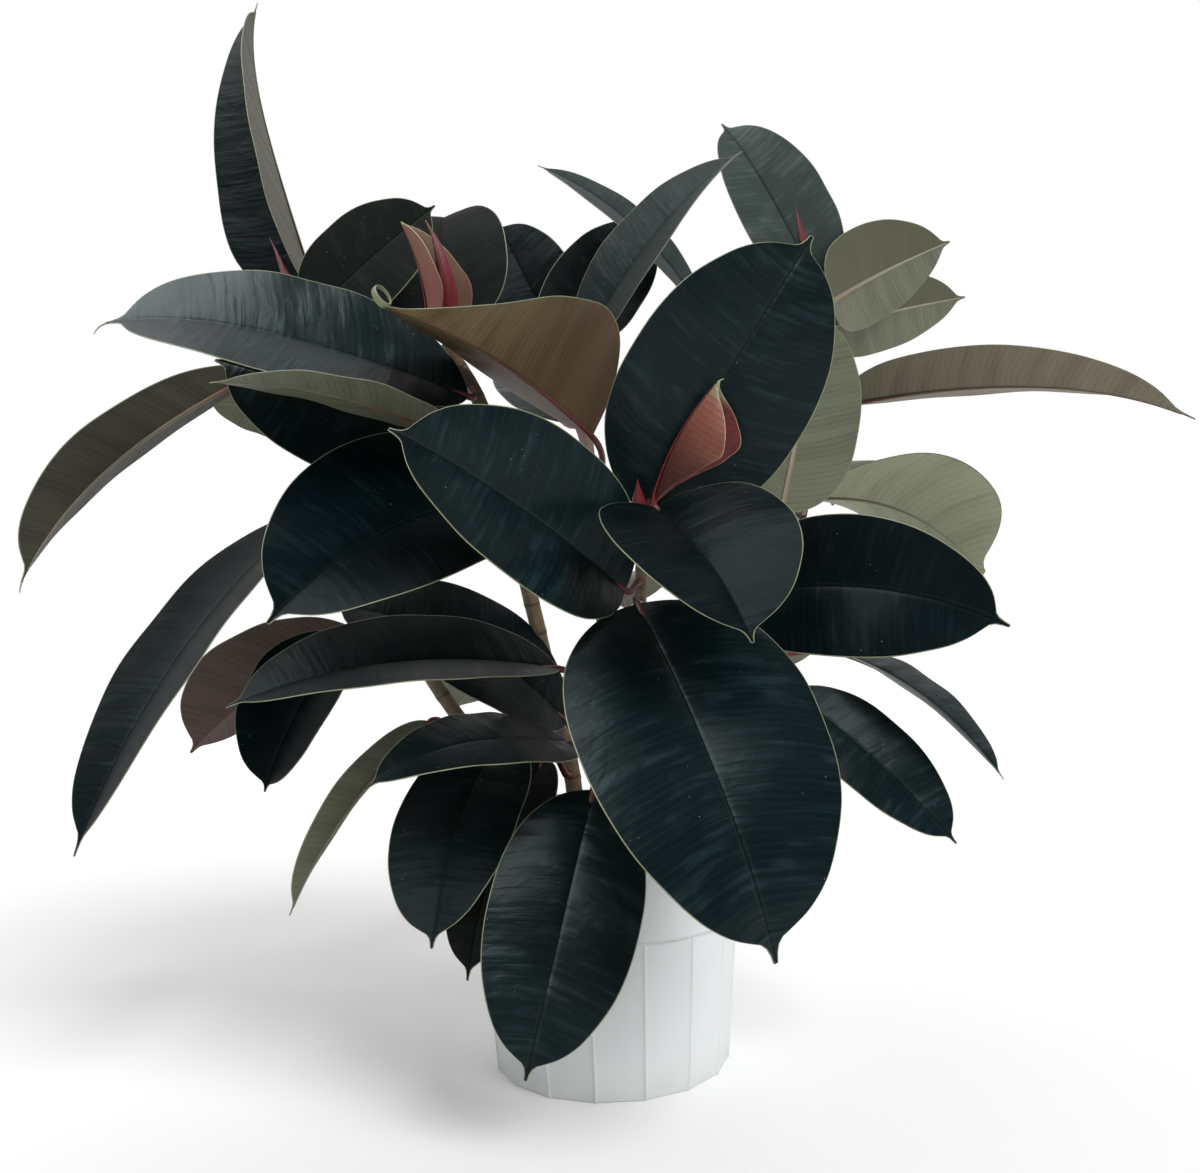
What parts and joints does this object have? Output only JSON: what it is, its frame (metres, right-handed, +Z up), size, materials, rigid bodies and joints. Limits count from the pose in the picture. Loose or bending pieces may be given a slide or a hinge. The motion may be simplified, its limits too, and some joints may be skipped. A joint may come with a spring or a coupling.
{
  "type": "potted burgundy rubber plant",
  "caption": "Upright potted rubber plant with large leathery dark burgundy leaves on bare woody stems, in a white fluted plastic nursery pot filled with soil.",
  "frame": {"origin": "centre of the pot's foot, on the surface it stands on", "axes": "+Z up; -Y faces the front of the plant; +X to the viewer's right"},
  "size_m": [0.7966, 0.5069, 0.9043],
  "materials": {
    "pot": "satin white plastic",
    "soil": "dark loose potting soil",
    "stem": "rough grey-brown bark",
    "leaf": "glossy leathery leaf, very dark green-burgundy, olive-brown underneath",
    "new_leaf": "waxy rolled new leaf, salmon and crimson",
    "sheath": "satin crimson bud sheath"
  },
  "bodies": {
    "root": {"pot": "pot", "soil": "soil", "stem_left": "stem", "stem_centre_left": "stem", "stem_front": "stem", "stem_right": "stem", "stem_centre": "stem", "leaf_front_large": "leaf", "leaf_front_small": "leaf", "leaf_centre": "leaf", "leaf_tall_right": "leaf", "leaf_left_dark": "leaf", "leaf_left_glossy": "leaf", "leaf_brown_under": "leaf", "leaf_upper_centre": "leaf", "leaf_thin_back": "leaf", "leaf_upper_right": "leaf", "leaf_under_right_a": "leaf", "leaf_under_right_b": "leaf", "leaf_right_long": "leaf", "leaf_left_long": "leaf", "leaf_upright": "leaf", "leaf_behind_sprout": "leaf", "leaf_left_inner": "leaf", "leaf_left_under": "leaf", "leaf_left_low": "leaf", "leaf_left_droop": "leaf", "leaf_maroon": "leaf", "leaf_left_hang": "leaf", "leaf_mid_left": "leaf", "leaf_mid_shade": "leaf", "leaf_fan_low": "leaf", "leaf_hang_low": "leaf", "leaf_hang_back": "leaf", "leaf_front_low": "leaf", "leaf_narrow": "leaf", "leaf_right_low_a": "leaf", "leaf_right_low_b": "leaf", "leaf_right_dark": "leaf", "leaf_behind_tall": "leaf", "leaf_olive_right": "leaf", "leaf_top_back": "leaf", "leaf_top_black": "leaf", "leaf_left_back": "leaf", "leaf_back_a": "leaf", "leaf_back_b": "leaf", "leaf_back_c": "leaf", "leaf_back_d": "leaf", "leaf_back_e": "leaf", "leaf_back_f": "leaf", "leaf_back_g": "leaf", "sprout_left": "new_leaf", "sprout_front": "new_leaf", "sheath_left": "sheath", "sheath_front": "sheath", "bud_far_left": "sheath", "bud_right": "sheath", "bud_centre": "sheath"}
  },
  "joints": []
}
